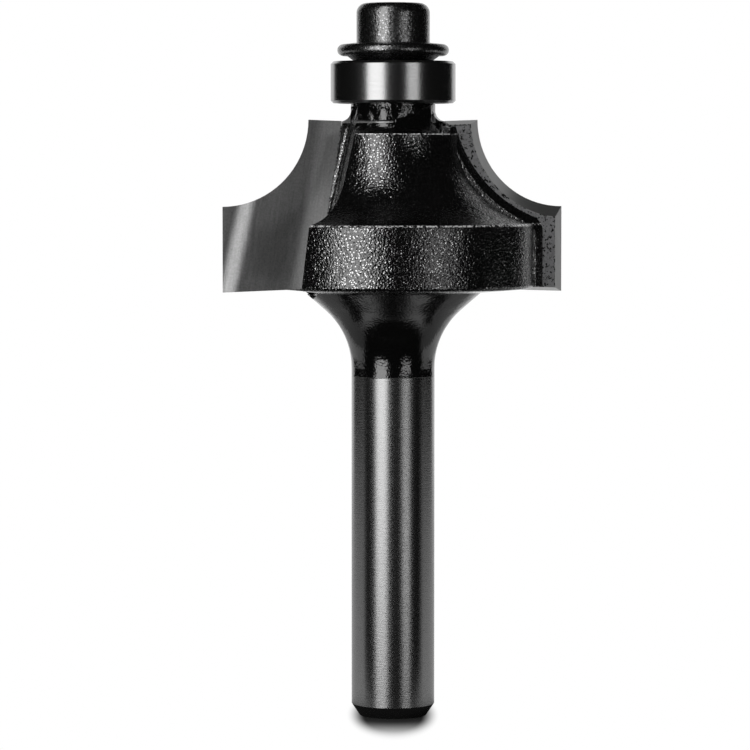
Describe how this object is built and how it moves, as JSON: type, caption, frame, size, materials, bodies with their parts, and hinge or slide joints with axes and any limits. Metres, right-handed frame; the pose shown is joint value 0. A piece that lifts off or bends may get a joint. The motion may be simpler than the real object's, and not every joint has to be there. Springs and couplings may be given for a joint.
{
  "type": "router bit",
  "caption": "Carbide-tipped router bit with a concave quarter-round profile, a straight shank and a ball bearing pilot held by a flanged washer and cap screw.",
  "frame": {"origin": "centre of the shank's end face", "axes": "+Z along the axis from the shank's end to the bearing; the two cutting edges lie near the X axis, 8 degrees round from it"},
  "size_m": [0.0258, 0.0214, 0.0545],
  "materials": {
    "painted_body": "gloss black paint with a fine pebbled skin on the head, bare ground steel on the shank",
    "carbide": "ground satin",
    "solder": "dull",
    "bearing_steel": "satin",
    "shield": "satin",
    "black_oxide": "black oxide, grainy satin"
  },
  "bodies": {
    "bit": {"bit_body": "painted_body", "cutter_1": "carbide", "cutter_2": "carbide", "braze_1": "solder", "braze_2": "solder", "bearing_inner_race": "bearing_steel", "bearing_washer": "black_oxide", "cap_screw": "black_oxide"},
    "bearing_outer": {"bearing_outer_race": "bearing_steel", "bearing_shield_lower": "shield", "bearing_shield_upper": "shield"},
    "cage": {"bearing_cage": "shield"},
    "ball_1": {"bearing_ball_1": "bearing_steel"},
    "ball_2": {"bearing_ball_2": "bearing_steel"},
    "ball_3": {"bearing_ball_3": "bearing_steel"},
    "ball_4": {"bearing_ball_4": "bearing_steel"},
    "ball_5": {"bearing_ball_5": "bearing_steel"},
    "ball_6": {"bearing_ball_6": "bearing_steel"},
    "ball_7": {"bearing_ball_7": "bearing_steel"},
    "ball_8": {"bearing_ball_8": "bearing_steel"}
  },
  "joints": [
    {"name": "bearing_spin", "type": "hinge", "parent": "bit", "child": "bearing_outer", "pos_m": [0, 0, 0.04845], "axis": [0, 0, 1], "continuous": true},
    {"name": "cage_spin", "type": "hinge", "parent": "bit", "child": "cage", "pos_m": [0, 0, 0.04845], "axis": [0, 0, 1], "continuous": true},
    {"name": "ball_1_roll", "type": "hinge", "parent": "cage", "child": "ball_1", "pos_m": [0.0033, 0.00137, 0.04845], "axis": [0, 0, 1], "continuous": true},
    {"name": "ball_2_roll", "type": "hinge", "parent": "cage", "child": "ball_2", "pos_m": [0.00137, 0.0033, 0.04845], "axis": [0, 0, 1], "continuous": true},
    {"name": "ball_3_roll", "type": "hinge", "parent": "cage", "child": "ball_3", "pos_m": [-0.00137, 0.0033, 0.04845], "axis": [0, 0, 1], "continuous": true},
    {"name": "ball_4_roll", "type": "hinge", "parent": "cage", "child": "ball_4", "pos_m": [-0.0033, 0.00137, 0.04845], "axis": [0, 0, 1], "continuous": true},
    {"name": "ball_5_roll", "type": "hinge", "parent": "cage", "child": "ball_5", "pos_m": [-0.0033, -0.00137, 0.04845], "axis": [0, 0, 1], "continuous": true},
    {"name": "ball_6_roll", "type": "hinge", "parent": "cage", "child": "ball_6", "pos_m": [-0.00137, -0.0033, 0.04845], "axis": [0, 0, 1], "continuous": true},
    {"name": "ball_7_roll", "type": "hinge", "parent": "cage", "child": "ball_7", "pos_m": [0.00137, -0.0033, 0.04845], "axis": [0, 0, 1], "continuous": true},
    {"name": "ball_8_roll", "type": "hinge", "parent": "cage", "child": "ball_8", "pos_m": [0.0033, -0.00137, 0.04845], "axis": [0, 0, 1], "continuous": true}
  ],
  "couplings": [
    {"joint": "cage_spin", "follows": "bearing_spin", "ratio": 0.61111},
    {"joint": "ball_1_roll", "follows": "bearing_spin", "ratio": 2.139},
    {"joint": "ball_2_roll", "follows": "bearing_spin", "ratio": 2.139},
    {"joint": "ball_3_roll", "follows": "bearing_spin", "ratio": 2.139},
    {"joint": "ball_4_roll", "follows": "bearing_spin", "ratio": 2.139},
    {"joint": "ball_5_roll", "follows": "bearing_spin", "ratio": 2.139},
    {"joint": "ball_6_roll", "follows": "bearing_spin", "ratio": 2.139},
    {"joint": "ball_7_roll", "follows": "bearing_spin", "ratio": 2.139},
    {"joint": "ball_8_roll", "follows": "bearing_spin", "ratio": 2.139}
  ]
}
